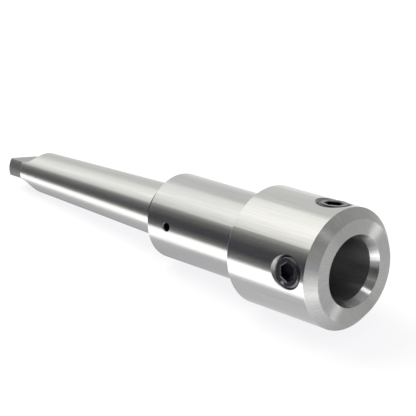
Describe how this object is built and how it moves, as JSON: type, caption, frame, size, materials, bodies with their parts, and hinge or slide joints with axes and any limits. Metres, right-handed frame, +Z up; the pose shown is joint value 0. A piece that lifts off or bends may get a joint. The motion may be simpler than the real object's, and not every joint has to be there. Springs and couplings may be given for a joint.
{
  "type": "annular cutter arbor",
  "caption": "Turned steel tool arbor with a cutter socket, radial set screws, a plain collar, a sprung ejector and a self-holding taper shank with a tang.",
  "frame": {"origin": "centre of the nose face, where the cutter socket opens", "axes": "+Z up the axis of rotation to the tang, +X through the front set screw and the coolant hole, +Y through the top set screw"},
  "size_m": [0.037, 0.037, 0.161],
  "materials": {
    "ground_steel": "fine turned and ground",
    "black_screw": "black oxide, oiled",
    "bright_steel": "turned",
    "spring_steel": "drawn spring wire"
  },
  "bodies": {
    "arbor": {"arbor_body": "ground_steel", "retaining_ring": "spring_steel", "ejector_spring": "spring_steel"},
    "front_screw": {"set_screw_front": "black_screw"},
    "top_screw": {"set_screw_top": "black_screw"},
    "ejector": {"ejector_plunger": "bright_steel"}
  },
  "joints": [
    {"name": "front_screw_travel", "type": "slide", "parent": "arbor", "child": "front_screw", "axis": [-1, 0, 0], "range_m": [-0.0015, 0.003]},
    {"name": "top_screw_travel", "type": "slide", "parent": "arbor", "child": "top_screw", "axis": [0, -1, 0], "range_m": [-0.0015, 0.003]},
    {"name": "ejector_travel", "type": "slide", "parent": "arbor", "child": "ejector", "axis": [0, 0, 1], "range_m": [0, 0.02], "stiffness_N_per_m": 300, "springref_m": -0.01, "deforming": ["ejector_spring"]}
  ]
}
